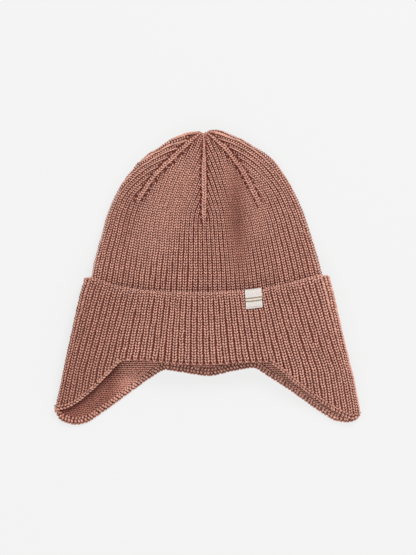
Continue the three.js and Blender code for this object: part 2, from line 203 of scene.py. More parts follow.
# %% The crown's surface
def side_curve(side, fine=60):
    """Catmull-Rom through the outline, at equal steps of its length, with its inward normal."""
    p = np.stack([CROWN_OUTLINE[side + "X"], CROWN_OUTLINE[side + "Y"]], 1)
    p = np.concatenate([p[:1], p, p[-1:]])
    t = np.linspace(0, 1, fine, endpoint=False)[None, :, None]
    before, start, end, after = (q[:, None] for q in (p[:-3], p[1:-2], p[2:-1], p[3:]))
    leave, arrive = (end - before) / 2, (after - start) / 2
    curve = (((2 * start - 2 * end + leave + arrive) * t + 3 * end - 3 * start - 2 * leave - arrive) * t
             + leave) * t + start
    points = np.concatenate([curve.reshape(-1, 2), p[-1:]])
    walked = walked_along(points)
    share = np.linspace(0, 1, 900)
    x, y = (np.interp(share * walked[-1], walked, points[:, k]) for k in (0, 1))
    way = np.stack([np.gradient(x), np.gradient(y)])
    way /= np.hypot(*way)
    turn = 1 if side == "left" else -1
    return {"share": share, "x": x, "y": y, "nx": turn * way[1], "ny": -turn * way[0]}


SIDES = {side: side_curve(side) for side in ("left", "right")}
crown_cloth = cloth_places(95, 2)


def crown_surface(rib, along, inset):
    """The crown at a rib's number, a share of the way up and a depth inside its outside."""
    across, face = crown_cloth(rib)
    across = across + np.where(face > 0, FRONT_SHIFT * (1 - across**2) ** 3, 0)
    along = np.clip(along, 0, 1)
    side = {key: np.where(across < 0, np.interp(along, SIDES["left"]["share"], SIDES["left"][key]),
                          np.interp(along, SIDES["right"]["share"], SIDES["right"][key]))
            for key in ("x", "y", "nx", "ny")}
    out = np.abs(across)
    foot_x = (CROWN_OUTLINE["leftX"][0] + CROWN_OUTLINE["rightX"][0]) / 2
    top_x, top_y = CROWN_OUTLINE["leftX"][-1], CROWN_OUTLINE["leftY"][-1]
    x = mix(mix(foot_x, top_x, np.clip(along * 2 - 0.6, 0, 1)), side["x"] + side["nx"] * inset, out)
    middle_y = mix(CROWN_FOOT, top_y - inset, along)
    y = mix(middle_y, side["y"] + side["ny"] * inset, out)
    nose = np.sqrt(1 - np.clip((along - NOSE) / (1 - NOSE), 0, 1) ** 2)
    fold, edge, dome = (column(CROWN_HEIGHTS, "y", key, y) for key in ("fold", "edge", "dome"))
    z = tube_height(across, face, fold, (edge - inset) * nose, dome * nose, inset)
    dent = np.where(face > 0, patches(DENTS, x, y) * nose * (1 - out**4), 0)
    return np.stack([x, y, z - dent], -1)


# %% [markdown]
# The cuff is a band that hangs from its folded top. Its ribs stand upright in the middle of the
# front and spread towards both flaps. A place on it is a rib's number and a distance below the
# fold, and a negative distance goes over the fold to the inside.


# %% The cuff's surface
SPREAD = {"steady": -0.115, "even_y": -46, "per_mm": 0.002, "largest": 0.065}
CUFF_TOP = {"front": -15.1, "back": -13.6, "left": (0.6, 3.4), "right": (2.2, 2.3)}
CORNER = {"from": 0.93, "drop": 3.0}
HEM_ROUND = 1.2
HEM_TRIES = 14
cuff_cloth = cloth_places(112, 2.5)


def cuff_section(y):
    """The band at a height: its middle, its half width, and its section's edge and dome."""
    left, right, edge, dome = (column(CUFF_SECTIONS, "y", key, y)
                               for key in ("left", "right", "edge", "dome"))
    return (left + right) / 2, (right - left) / 2, edge, dome


def cuff_x(across, face, y, inset):
    """Where a rib stands: its place across times the band's half width, spread on the front."""
    middle, half_width = cuff_section(y)[:2]
    share = np.minimum(SPREAD["largest"], SPREAD["per_mm"] * (SPREAD["even_y"] - y))
    spread = share * (across - SPREAD["steady"]) * (1 - across**4)
    return middle + (across + np.where(face > 0, spread, 0)) * (half_width - inset)


def cuff_point(rib, y, inset):
    """The cuff at a rib's number, a height on the hat and a depth inside its outside."""
    across, face = cuff_cloth(rib)
    x = cuff_x(across, face, y, inset)
    middle, half_width, edge, dome = cuff_section(y)
    out = np.clip((x - middle) / (half_width - inset), -1, 1)
    z = tube_height(out, face, edge - PRESS, edge - inset, dome, inset)
    return np.stack([x, y + 0 * x, z], -1)


def cuff_top(rib):
    """The folded top's height: lowest in the middle, with a power curve and a corner to each side."""
    across, face = cuff_cloth(rib)
    side_y, power = (np.where(across < 0, a, b) for a, b in zip(CUFF_TOP["left"], CUFF_TOP["right"]))
    middle = np.where(face > 0, CUFF_TOP["front"], CUFF_TOP["back"])
    corner = smoothstep(np.abs(across), CORNER["from"], 1)
    return mix(middle, side_y, np.abs(across) ** power) - CORNER["drop"] * corner


def hem_height(rib):
    """The height at which a rib meets the hem's line, found by going there in a few steps."""
    across, face = cuff_cloth(rib)
    y = np.full(np.shape(rib), FRONT_HEM["y"][0])
    for _ in range(HEM_TRIES):
        x = cuff_x(across, face, y, 0)
        y = np.where(face > 0, column(FRONT_HEM, "x", "y", x), column(BACK_HEM, "x", "y", x))
    return y + HEM_ROUND


def cuff_wall(y):
    """The band's thickness: two layers down to the crown's hidden edge, then one."""
    return mix(CUFF_WALL, FLAP_WALL, np.clip((CROWN_FOOT - y) / 10, 0, 1))


def normals(surface, rib, way, inset, step=0.02):
    """Unit normals of a surface, across its ribs times up them, by central differences."""
    across = surface(rib + step, way, inset) - surface(rib - step, way, inset)
    up = surface(rib, way + step * 0.05, inset) - surface(rib, way - step * 0.05, inset)
    return unit(np.cross(across, up))


def cuff_surface(rib, below, inset):
    """The cuff at a distance below its fold, and round the fold where that is negative."""
    top = cuff_top(rib)
    y = top - np.maximum(below, 0)
    flat = cuff_point(rib, y, inset)
    turn = np.clip(-below / FOLD_RADIUS, 0, np.pi)[..., None]
    out = normals(cuff_point, rib, top, inset)
    radius = np.asarray(FOLD_RADIUS - inset)[..., None]
    return flat - out * radius * (1 - np.cos(turn)) + np.array([0, 1, 0]) * radius * np.sin(turn)


# %% [markdown]
# Finishes are node trees. Their sums are written as Python expressions: a Signal wraps one output
# socket, and its operators add Math nodes. Anything else comes from one method that takes a node's
# type, its settings and what its sockets get.


# %% Writing materials as expressions
class Signal:
    """One socket's value, with the operators of arithmetic and comparison."""

    def __init__(self, finish, socket):
        self.finish, self.socket = finish, socket

    def _with(self, operation, *terms):
        return self.finish.node("ShaderNodeMath", {"operation": operation}, dict(enumerate(terms)))

    def __add__(self, other):
        return self._with("ADD", self, other)

    def __sub__(self, other):
        return self._with("SUBTRACT", self, other)

    def __rsub__(self, other):
        return self._with("SUBTRACT", other, self)

    def __mul__(self, other):
        return self._with("MULTIPLY", self, other)

    def __lt__(self, other):
        return self._with("LESS_THAN", self, other)

    def __gt__(self, other):
        return self._with("GREATER_THAN", self, other)

    def __abs__(self):
        return self._with("ABSOLUTE", self)

    __radd__ = __add__
    __rmul__ = __mul__


class Finish:
    """A new material: a Principled shader whose fixed numbers are set on its own sockets."""

    def __init__(self, name, **fixed):
        self.material = bpy.data.materials.new(name)
        self.material.use_nodes = True
        self.tree = self.material.node_tree
        self.shader = self.tree.nodes["Principled BSDF"]
        for socket, value in fixed.items():
            self.shader.inputs[socket.replace("_", " ")].default_value = value

    def node(self, kind, settings=None, sockets=None, output=0):
        """Adds a node, sets it up, feeds its sockets with numbers or Signals, returns an output."""
        made = self.tree.nodes.new(kind)
        for key, value in (settings or {}).items():
            if key == "stops":
                ramp = made.color_ramp.elements
                while len(ramp) < len(value):
                    ramp.new(0.5)
                for element, (position, colour) in zip(ramp, value):
                    element.position, element.color = position, colour
            else:
                setattr(made, key, value)
        for key, value in (sockets or {}).items():
            if isinstance(value, Signal):
                self.tree.links.new(value.socket, made.inputs[key])
            else:
                made.inputs[key].default_value = value
        return Signal(self, made.outputs[output])

    def blend(self, share, first, second, how="MIX"):
        """A mix of two colours."""
        settings = {"data_type": "RGBA", "blend_type": how, "clamp_factor": True}
        return self.node("ShaderNodeMix", settings, {0: share, 6: first, 7: second}, output=2)

    def attribute(self, name):
        return self.node("ShaderNodeAttribute", {"attribute_name": name}, output=2)

    def place(self):
        return self.node("ShaderNodeTexCoord", output=3)

    def noise(self, size, detail=2.0, roughness=0.5):
        """Noise in the object's own space, whose lumps are about a size in metres across."""
        sockets = {"Vector": self.place(), "Scale": 1 / size, "Detail": detail, "Roughness": roughness}
        return self.node("ShaderNodeTexNoise", {}, sockets)

    def feed(self, socket, signal):
        self.tree.links.new(signal.socket, self.shader.inputs[socket])

    def bump(self, height, distance, strength):
        sockets = {"Height": height, "Distance": distance, "Strength": strength}
        self.feed("Normal", self.node("ShaderNodeBump", {}, sockets))


def colour(red, green, blue):
    """A colour as seen on screen, 0 to 255, as the linear numbers that a shader takes."""
    seen = np.array([red, green, blue]) / 255
    linear = np.where(seen <= 0.04045, seen / 12.92, ((seen + 0.055) / 1.055) ** 2.4)
    return (*linear.tolist(), 1.0)


# %% [markdown]
# The yarn is a soft brushed wool blend in dusty brown pink. Where it lies deep between stitches it
# looks much darker and redder, because light reaches it only after touching other yarn. Ray tracing
# gives a part of that. The rest comes from a depth that each strand carries along its length.

# %% The yarn
YARN_LIGHT = colour(200, 148, 131)
YARN_MID = colour(167, 111, 94)
YARN_DARK = colour(90, 27, 14)


def yarn_finish(name, painted_light_gain=1.0):
    """Colour by depth, with a tone for each stitch, flecks of lighter fibre, a twisted ply and a gain of
    painted light.
    """
    made = Finish(name, Roughness=0.92, Sheen_Weight=0.12, Sheen_Roughness=0.6, IOR=1.45)
    depth = made.attribute("depth")
    tone = made.attribute("tone")
    body = made.node("ShaderNodeValToRGB", {"stops": [
        (0.0, YARN_DARK), (0.55, YARN_MID), (1.0, YARN_LIGHT)]}, {0: depth})
    lumps = made.noise(0.018, 3)
    fleck = made.noise(0.0007, 3, 0.7)
    gain = (0.71 + 0.32 * tone + 0.16 * lumps + 0.24 * fleck) * painted_light_gain
    flat = made.node("ShaderNodeCombineColor", {}, {0: gain, 1: gain, 2: gain})
    made.feed("Base Color", made.blend(1.0, body, flat, "MULTIPLY"))
    made.bump(made.attribute("ply") * 0.7 + fleck * 0.5, 0.0004, 0.6)
    return made.material


crown_yarn = yarn_finish("crown_yarn")
cuff_yarn = yarn_finish("cuff_yarn")
# Painted light: the inner face's yarn is made a third brighter, standing in for light that the front's hem
# keeps off it.
inner_yarn_painted_lighter = yarn_finish("inner_yarn_painted_lighter", 1.33)

# %% [markdown]
# Every mesh goes through one function. It takes whole arrays of points and faces in millimetres,
# gives each point its depth, tone and ply, and names the CAD body that the piece moves with.


# %% Making a piece
def make_piece(name, points, faces, material, values=None):
    """A mesh from arrays of points (mm) and faces, with a float attribute for each value."""
    points = np.asarray(points, float).reshape(-1, 3) * MM
    points[:, 2] = np.maximum(points[:, 2], 0)
    faces = [np.asarray(f, np.int32).reshape(-1, f.shape[-1]) for f in faces]
    volume = sum(np.einsum("ij,ij->i", points[f[:, 0]], np.cross(points[f[:, k]], points[f[:, k + 1]])).sum()
                 for f in faces for k in range(1, f.shape[1] - 1))
    if volume < 0:
        faces = [f[:, ::-1] for f in faces]
    mesh = bpy.data.meshes.new(name)
    loops = np.concatenate([f.ravel() for f in faces])
    sizes = np.concatenate([np.full(len(f), f.shape[1]) for f in faces])
    mesh.vertices.add(len(points))
    mesh.vertices.foreach_set("co", points.ravel())
    mesh.loops.add(len(loops))
    mesh.loops.foreach_set("vertex_index", loops)
    mesh.polygons.add(len(sizes))
    mesh.polygons.foreach_set("loop_start", np.concatenate([[0], np.cumsum(sizes)[:-1]]).astype(np.int32))
    mesh.update(calc_edges=True)
    mesh.validate()
    mesh.polygons.foreach_set("use_smooth", np.ones(len(sizes), bool))
    for key, value in (values or {}).items():
        layer = mesh.attributes.new(key, "FLOAT", "POINT")
        layer.data.foreach_set("value", np.broadcast_to(value, len(points)).astype(np.float32).ravel())
    mesh.materials.append(material)
    piece = bpy.data.objects.new(name, mesh)
    bpy.context.scene.collection.objects.link(piece)
    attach(piece, "root")
    print(f"{name}: {sum(len(f) * (f.shape[1] - 2) for f in faces)} triangles")
    return piece


def grid_faces(rows, columns, close_rows=False):
    """Quads between the rows of a grid whose columns close on themselves."""
    j = np.arange(rows if close_rows else rows - 1)[:, None]
    i = np.arange(columns)[None, :]
    up, beside = (j + 1) % rows, (i + 1) % columns
    return np.stack([j * columns + i, j * columns + beside, up * columns + beside, up * columns + i], -1)


# %% [markdown]
# The crown's six gores are told apart by lines of decreases, which stand up like braids. Below them
# every rib keeps its number. Above, the ribs of a gore close up round its middle and end, one after
# another, under the lines beside them. A short table says how far the lines lie from even sixths.

# %% The ribs' rhythm
LINE_DRIFT = table("along left centre right", [
    (0.00, 0.3, 0.0, -1.2), (0.55, 0.3, 0.0, -1.2), (0.65, 1.1, 0.1, -1.8), (0.75, 2.3, 0.3, -2.0),
    (0.84, 3.5, 0.5, -1.9), (0.90, 4.4, 0.8, -2.8), (1.00, 4.7, 1.2, -3.6)])
LINE_START = (0.53, 0.58)
DECREASES_AT = 0.545
DECREASES_LATER = 0.03
FLAT_KNIT = table("x y across along lean amount", [
    (-34, 63, 20, 46, 0.34, 1.0), (24, 55, 9, 50, -0.06, 1.0), (37, 62, 14, 32, -0.1, 0.85)])
SHADES = table("x y across along lean amount", [
    (24.5, 50, 9.5, 42, -0.03, 0.68), (-69, 44, 7, 34, 0.1, 0.16)])


def drift(rib, along):
    """How many ribs a place is moved by, straight between the side folds and the front's lines."""
    left, centre, right = (column(LINE_DRIFT, "along", key, along) for key in ("left", "centre", "right"))
    at = np.mod(rib + RIBS / 4, RIBS) - RIBS / 4
    first, second, third = LINES[:3]
    moved = np.where(at < first, left * np.clip((at + 8) / (first + 8), 0, 1), 0)
    moved = np.where((at >= first) & (at < second), mix(left, centre, (at - first) / RIBS_PER_GORE), moved)
    moved = np.where((at >= second) & (at < third), mix(centre, right, (at - second) / RIBS_PER_GORE), moved)
    return np.where(at >= third, right * np.clip((HALF + 8 - at) / (HALF + 8 - third), 0, 1), moved)


def crown_knit(rib, along, inset):
    """The crown's surface at a rib of the even rhythm, moved by the lines' drift."""
    return crown_surface(rib + drift(rib, along), along, inset)


def decreases_from(offset, gore):
    """Where decreases start: at the same row all round, which lies lower beside the outer lines."""
    centre_side = {0: 0.0, 1: 1.0, 2: -1.0}.get(gore, 0.0)
    to_centre = smoothstep(centre_side * offset / (RIBS_PER_GORE / 2), -1, 1) * abs(centre_side)
    return DECREASES_AT + DECREASES_LATER * to_centre


def ribs_left(along, start, soft=0.14):
    """16 ribs to a gore, then fewer in step with the way left to the top, after a soft beginning."""
    past = np.clip((along - start) / (1 - start), 0, 1)
    gone = np.where(past < soft, past**2 / (2 * soft), past - soft / 2) / (1 - soft / 2)
    return RIBS_PER_GORE * np.clip(1 - gone, 0.02, 1)


def gore_middle(rib):
    """The rib in the middle of the gore that a rib belongs to."""
    return FIRST_LINE + RIBS_PER_GORE * (np.floor((rib - FIRST_LINE) / RIBS_PER_GORE) + 0.5)


def flatness(x, y):
    """How flat the knit is pulled: 0 where ribs stand close, 1 where no valley is left."""
    return np.clip(patches(FLAT_KNIT, x, y, 4), 0, 1)


def shading(x, y):
    """How much light reaches the yarn: less where the cloth sinks in."""
    return 1 - patches(SHADES, x, y)


# %% [markdown]
# Under the stitches lie two closed shells, the crown's and the cuff's, which fill the valleys with
# yarn painted dark as shade and make the inside. They could be left out, but then light would fall
# through the stitches. Their inside is ribbed too, because a rib knit looks alike from both its sides.

# %% The crown's shell
COLUMNS_PER_RIB = 4
SHELL_INSET = 1.25
VALLEY = 0.5
SHELL_TOP = 0.985
FOOT_LIP = -0.5
CROWN_RINGS = {"inside": 14, "foot": 4, "outside": 46}
POLE_RIB = 24.0


def crown_shell():
    """Rings from the inner pole down the inside, round the foot, and up the outside to the top."""
    rib = np.arange(RIBS * COLUMNS_PER_RIB)[None, :] / COLUMNS_PER_RIB
    inside = np.linspace(SHELL_TOP, 0.0, CROWN_RINGS["inside"])
    outside = np.concatenate([np.linspace(0, 0.16, CROWN_RINGS["foot"]),
                              np.linspace(0.18, SHELL_TOP, CROWN_RINGS["outside"])])
    along = np.concatenate([inside, outside])[:, None]
    is_outside = (np.arange(len(along)) >= len(inside))[:, None]
    left = ribs_left(along, decreases_from(0, 1)) / RIBS_PER_GORE
    wave = np.cos(np.pi * (rib - gore_middle(rib)) * left) ** 2
    outer_inset = np.where(along > 0, SHELL_INSET + VALLEY * (1 - wave), FOOT_LIP)
    inset = np.where(is_outside, outer_inset, CROWN_WALL - 0.3 * wave)
    ribs, alongs = np.broadcast_arrays(rib, along)
    grid = crown_knit(ribs, alongs, inset)
    poles = crown_surface(np.full(2, POLE_RIB), np.ones(2), np.array([CROWN_WALL, SHELL_INSET]))
    points = np.concatenate([poles, grid.reshape(-1, 3)])
    quads = grid_faces(*grid.shape[:2]) + 2
    ring = np.arange(rib.size)
    last = 2 + (len(along) - 1) * rib.size
    caps = np.concatenate([np.stack([np.zeros_like(ring), 2 + np.roll(ring, -1), 2 + ring], -1),
                           np.stack([np.ones_like(ring), last + ring, last + np.roll(ring, -1)], -1)])
    # Painted shade: the shell is darkest in the valleys and darker beside the lines, where the holes are. It
    # is lighter under the ribs' middles, where the knit lies flat and near the top. Its inside is darker in
    # its valleys.
    from_line = np.abs(np.mod(rib - FIRST_LINE + RIBS_PER_GORE / 2, RIBS_PER_GORE) - RIBS_PER_GORE / 2)
    clear = mix(1, 0.2 + 0.8 * smoothstep(from_line * left, 1.1, 1.9), smoothstep(along, *LINE_START))
    lit = (0.25 * wave**2 + 0.3 * flatness(grid[..., 0], grid[..., 1])) * clear
    depth = np.where(is_outside, lit + 0.45 * smoothstep(along, 0.92, 0.98), 0.3 + 0.4 * wave)
    values = {"depth": np.concatenate([[0.3, 0.6], depth.ravel()]), "tone": 0.5, "ply": 0.5}
    return make_piece("crown_shell", points, [quads, caps], crown_yarn, values)


shell = crown_shell()
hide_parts("crown")

# %% The cuff's shell
CUFF_RINGS = {"outer": 32, "inner": 24, "fold": 7, "hem": 4}
INNER_FROM = -58.0
CUFF_PHASE = -0.15


def under_hem(x, y):
    """How much light reaches the inner face: little just under the front's hem, least at the left."""
    below = column(FRONT_HEM, "x", "y", x) + HEM_ROUND - y
    left = 1 - smoothstep(x, -84, -66)
    shadow = mix(0.8, 0.9, left) * np.exp(-(np.maximum(below, 0) / mix(1.5, 8.0, left)) ** 2)
    return (1 - 0.66 * left) * (1 - shadow)


def rounded(start, end, direction, reach, steps):
    """Half a turn from one wall to the other, bulging in a direction."""
    angle = (np.arange(1, steps) * np.pi / steps)[:, None, None]
    centre, half = (start + end) / 2, (start - end) / 2
    return centre + half * np.cos(angle) + np.array([0, direction * reach, 0]) * np.sin(angle)


def cuff_shell():
    """Loops up the outside, over the folded top, down the inside and round the hem, for each rib."""
    rib = (np.arange(RIBS * COLUMNS_PER_RIB) / COLUMNS_PER_RIB)[None, :] + CUFF_PHASE
    wave = np.cos(np.pi * (rib - CUFF_PHASE)) ** 2
    top, hem = cuff_top(rib), hem_height(rib)
    outer_y = mix(hem, top, np.linspace(0, 1, CUFF_RINGS["outer"])[:, None])
    inner_y = mix(top, hem, np.linspace(0, 1, CUFF_RINGS["inner"])[:, None])
    outer = cuff_point(rib, outer_y, SHELL_INSET + VALLEY * (1 - wave))
    stitched = (cuff_cloth(rib)[1] < 0) * smoothstep(INNER_FROM - 2 - inner_y, 0, 4)
    ribbed = cuff_wall(inner_y) - 0.5 * wave * smoothstep(CROWN_FOOT - inner_y, 0, 6)
    inner = cuff_point(rib, inner_y, mix(ribbed, FLAP_WALL - SHELL_INSET, stitched))
    fold = rounded(outer[-1], inner[0], 1, FOLD_RADIUS - SHELL_INSET, CUFF_RINGS["fold"])
    under = rounded(inner[-1], outer[0], -1, 0.3, CUFF_RINGS["hem"])
    grid = np.concatenate([outer, fold, inner, under])
    # Painted shade: the shell is darkest in its outer valleys, and the fold and the hem's underside are dark
    # too. The stitched inner face darkens where little light reaches under the front's hem.
    light = under_hem(cuff_point(rib, inner_y, FLAP_WALL)[..., 0], inner_y)
    depth = np.concatenate([np.broadcast_to(0.25 * wave**2, outer.shape[:2]), np.full(fold.shape[:2], 0.15),
                            mix(0.3 + 0.4 * wave, 0.35 * light, stitched), np.full(under.shape[:2], 0.15)])
    values = {"depth": depth.ravel(), "tone": 0.5, "ply": 0.5}
    faces = grid_faces(*grid.shape[:2], close_rows=True)
    return make_piece("cuff_shell", grid, [faces], cuff_yarn, values)


shell = cuff_shell()
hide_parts("cuff")

# %% [markdown]
# A knit stitch is a V: two legs that leave a point together, rise over the stitch below and lean
# apart until they go under the next row. A leg is a short tube whose centre line is a formula of
# its way t from 0 to 1. Thousands of them are made at once as one array, and each ring of a tube is
# set on the hat's surface by the surface's own normal.

# %% A tube along a line
YARN_HALF_WIDTH = 0.66
YARN_HALF_THICKNESS = 0.55


def swept(centre, out, width, thick, sides):
    """Tubes about centre lines: a ring is centre + cos(a) * width * beside + sin(a) * thick * up."""
    along = unit(np.gradient(centre, axis=1))
    beside = unit(np.cross(along, out))
    up = np.cross(beside, along)
    angle = 2 * np.pi * (np.arange(sides) + 0.5) / sides
    ring = (np.cos(angle)[:, None] * (beside * width[..., None])[..., None, :]
            + np.sin(angle)[:, None] * (up * thick[..., None])[..., None, :])
    return centre[..., None, :] + ring, 0.5 + 0.5 * np.sin(angle)


def tube_faces(count, rings, sides):
    """Quads along each tube and a flat cap at each of its ends, for many tubes at once."""
    start = (np.arange(count) * rings * sides)[:, None, None]
    j = (np.arange(rings - 1) * sides)[None, :, None]
    i = np.arange(sides)[None, None, :]
    beside = (i + 1) % sides
    ring, after = start + j, start + j + sides
    quads = np.stack([ring + i, ring + beside, after + beside, after + i], -1)
    caps = [np.arange(sides)[::-1] + start[:, 0], np.arange(sides) + (rings - 1) * sides + start[:, 0]]
    return [quads.reshape(-1, 4), np.concatenate(caps)]


def yarn_values(t, height, count, base, fall):
    """Depth, painted shade, is low at a leg's ends and underside. Tone is one number a leg. Ply turns round
    it.
    """
    crest = np.sin(np.pi * t**0.75)[None, :, None] ** 0.9
    depth = np.clip(base + crest * (0.35 + 0.65 * height) * fall * np.ones((count, 1, 1)), 0, 1)
    tone = np.broadcast_to(rng.uniform(0, 1, (count, 1, 1)), depth.shape)
    turn = np.arange(len(height)) / len(height)
    ply = np.broadcast_to(0.5 + 0.5 * np.sin(2 * np.pi * (3.0 * t[None, :, None] + turn)), depth.shape)
    return depth, tone, ply


def make_strands(name, parts, yarn):
    """One piece from several lots of strands, each its points, its quads and caps, and its values."""
    lots = [points.reshape(-1, 3) for points, _, _ in parts]
    starts = np.cumsum([0] + [len(lot) for lot in lots])
    faces = [np.concatenate([part[1][k] + start for part, start in zip(parts, starts)]) for k in (0, 1)]
    values = {key: np.concatenate([np.ravel(part[2][k]) for part in parts])
              for k, key in enumerate(("depth", "tone", "ply"))}
    return make_piece(name, np.concatenate(lots), faces, yarn, values)


# %% [markdown]
# The numbers of a leg were chosen beside enlarged crops of the knit. Lengths across are in ribs,
# lengths up are shares of a row, and pairs run from a closed rib to a flat one, or from a leg's
# start to its end. A leg is painted brightest on its crest, because its depth follows the same rise.

# %% The stitch
RIB_WIDTH = 4.6
RISE = 0.5
LEG_INSET = 0.5
REACH = (0.86, 0.965)
LEG_FROM = 0.105
LEG_CLOSED = 0.24
LEG_FLAT = 0.4
LEG_CURVE = 1.1
LEG_JITTER = 0.022
LEG_SPREAD = 0.08
LEG_ENDS = (0.7, 0.35)
SWAY = 0.032
STRETCH = (0.7, 1.9)
PULLED_FLAT = (1.15, 1.5)
TURN_DOWN = 0.5
TURN_SHADE = 0.45
YARN_SIDES = 5
LEG_BASE = (0.27, 0.42)
LEG_FALL = (1.0, 0.72)


def wobble(count):
    """How far each row of a rib strays, in ribs: noise smoothed over a few rows, so ribs sway."""
    noise = rng.normal(0, 1, count + 4)
    return SWAY * np.convolve(noise, np.array([1, 2, 3, 2, 1]) / 4.36, "valid")


def stretch_of(surface, rib_at, way, inset):
    """How wide a rib lies there, over a plain rib's width, measured across its middle half."""
    left, right = (surface(rib_at(np.full(len(way), u), way), way, inset) for u in (-0.25, 0.25))
    return np.linalg.norm(right - left, axis=1) * 2 / RIB_WIDTH


def v_stitches(surface, to_rib, way, pitch, flat, inset, rings, outward=1, raised=0.0, size=1.0,
               shade=1.0, apart=1.0, keep=None):
    """Two legs a stitch, from 0.1 ribs beside its line to 0.35 where ribs are closed, 0.5 where flat.

    The leg's height is -r + 2 r sin(pi t^0.75), less where it turns down into a valley."""
    t = np.linspace(0, 1, rings)
    count = len(way)
    side = np.array([-1.0, 1.0])[None, :, None]
    stretch = stretch_of(surface, to_rib, way, inset)
    flat = np.maximum(flat, 0.95 * smoothstep(stretch, *PULLED_FLAT))
    spacing = np.clip(stretch, *STRETCH)
    flat, raised, size, shade, apart, spacing, pitch = (
        np.broadcast_to(a, (count,))[:, None, None]
        for a in (flat, raised, size, shade, apart, spacing, pitch))
    jitter = rng.normal(0, LEG_JITTER, (count, 2, 1))
    sway = wobble(count)[:, None, None]
    u = side * (LEG_FROM * apart + mix(LEG_CLOSED, LEG_FLAT, flat) * t**LEG_CURVE + jitter) * size + sway
    v = way[:, None, None] + pitch * (mix(*REACH, flat) * t + 0 * side)
    rib = to_rib(u, v)
    turned_down = TURN_DOWN * (1 - flat) * np.clip(np.abs(u) / size / 0.36, 0, 1.3) ** 2.5
    lift = (2.0 * np.sin(np.pi * t**0.75) - 1) * RISE * np.minimum(size, 1) - turned_down + raised
    lift = lift + rng.normal(0, LEG_SPREAD, (count, 2, 1))
    slim = mix(*LEG_ENDS, t)
    swell = (slim + (1 - slim) * np.sin(np.pi * t) ** 0.7) * size**0.5
    swell = swell * (1 + rng.normal(0, LEG_SPREAD, (count, 2, 1)))
    # Painted shade: fall scales the painted brightness of a leg's crest and base sets its darkest. Both drop
    # with the given shade, fall also drops where a leg turns down into a valley, and flat knit gets less
    # contrast.
    fall = (1 - TURN_SHADE * turned_down / TURN_DOWN) * shade * mix(*LEG_FALL, flat)
    base = mix(*LEG_BASE, flat) * np.minimum(shade, 1)
    legs = [a.reshape(count * 2, rings)
            for a in np.broadcast_arrays(rib, v, lift, swell * spacing, swell, fall, base)]
    if keep:
        kept = keep(*legs[:2])
        legs = [a[kept] for a in legs]
    rib, v, lift, wide, swell, fall, base = legs
    out = normals(surface, rib, v, inset) * outward
    centre = surface(rib, v, inset) + out * lift[..., None]
    points, height = swept(centre, out, wide * YARN_HALF_WIDTH, swell * YARN_HALF_THICKNESS, YARN_SIDES)
    values = yarn_values(t, height, len(rib), base[..., None], fall[..., None])
    return points, tube_faces(len(rib), rings, YARN_SIDES), values


# %% [markdown]
# On the crown, rows are set out at equal lengths up each rib. Where a rib ends beside a line of
# decreases, the two stitches that were knitted together leave a small hole, and so the lines are
# flanked by dark dots. The legs that would cover a dot are left out.

# %% The crown's stitches
HIDDEN = 7.0
HOLE_PITCH = 5.4
HOLE_RADIUS = 1.55
HOLES_REACH = (0.56, 0.965)
HOLES_BESIDE = 0.66
LINE_SIZE = 1.35
LINE_RISE = 0.95
LINE_FLAT = 0.4
LINE_WIDENS = (0.53, 0.6)
BACK_FLAT = 0.15


def path_of(rib_at):
    """Fine steps up the crown along a rib: shares of the way up, points and length walked."""
    along = np.linspace(0.1, SHELL_TOP, 700)
    path = crown_knit(rib_at(along), along, LEG_INSET)
    return along, path, walked_along(path)


def hole_centres():
    """Points at both sides of every line, from its start to near the top, at an even pitch."""
    centres = []
    for line in LINES:
        along, _, walked = path_of(lambda a: line + 0 * a)
        start, stop = np.interp(HOLES_REACH, along, walked)
        for side in (-1, 1):
            at = np.interp(np.arange(start, stop, HOLE_PITCH) + side * HOLE_PITCH / 4, walked, along)
            beside = HOLES_BESIDE * RIBS_PER_GORE / ribs_left(np.minimum(at, 0.80), 0.56)
            centres.append(crown_knit(line + side * beside, at, LEG_INSET))
    return np.concatenate(centres)


HOLES = hole_centres()
print(len(HOLES), "small holes beside the lines")


def clear_of_holes(rib, along):
    """True for the legs whose middle is further from every hole than the hole's radius."""
    middle = rib.shape[1] // 2
    place = crown_knit(rib[:, middle], along[:, middle], LEG_INSET)
    return np.all([np.linalg.norm(place - hole, axis=1) > HOLE_RADIUS for hole in HOLES], axis=0)


def line_spread(line, along):
    """How many rib numbers make the width of a plain rib at a line, more as the crown narrows."""
    return np.clip(1 / stretch_of(crown_knit, lambda u, v: line + u, along, LEG_INSET), 1, 3.2)


def crown_line(line, rings):
    """The line of decreases: plain below the decreases, a broad raised braid above them."""
    along, path, walked = path_of(lambda a: line + 0 * a)
    start = walked[np.argmax(path[:, 1] > cuff_top(np.array(line)) - HIDDEN)]
    rows = np.interp(np.arange(start, walked[-1], ROW), walked, along)
    above = smoothstep(rows, *LINE_START)
    x, y = crown_knit(line + 0 * rows, rows, LEG_INSET)[:, :2].T
    spread = line_spread(line, along)
    return v_stitches(
        crown_knit, lambda u, v: line + u * mix(1, np.interp(v, along, spread), smoothstep(v, *LINE_WIDENS)),
        rows, np.gradient(rows), mix(flatness(x, y), LINE_FLAT, above), LEG_INSET, rings,
        raised=LINE_RISE * above * smoothstep(1 - rows, 0.02, 0.12),
        size=mix(1, LINE_SIZE, above) * mix(1.0, 0.8, smoothstep(rows, 0.9, 0.97)),
        apart=1 - 0.7 * above, shade=shading(x, y) * (1 - 0.12 * above))


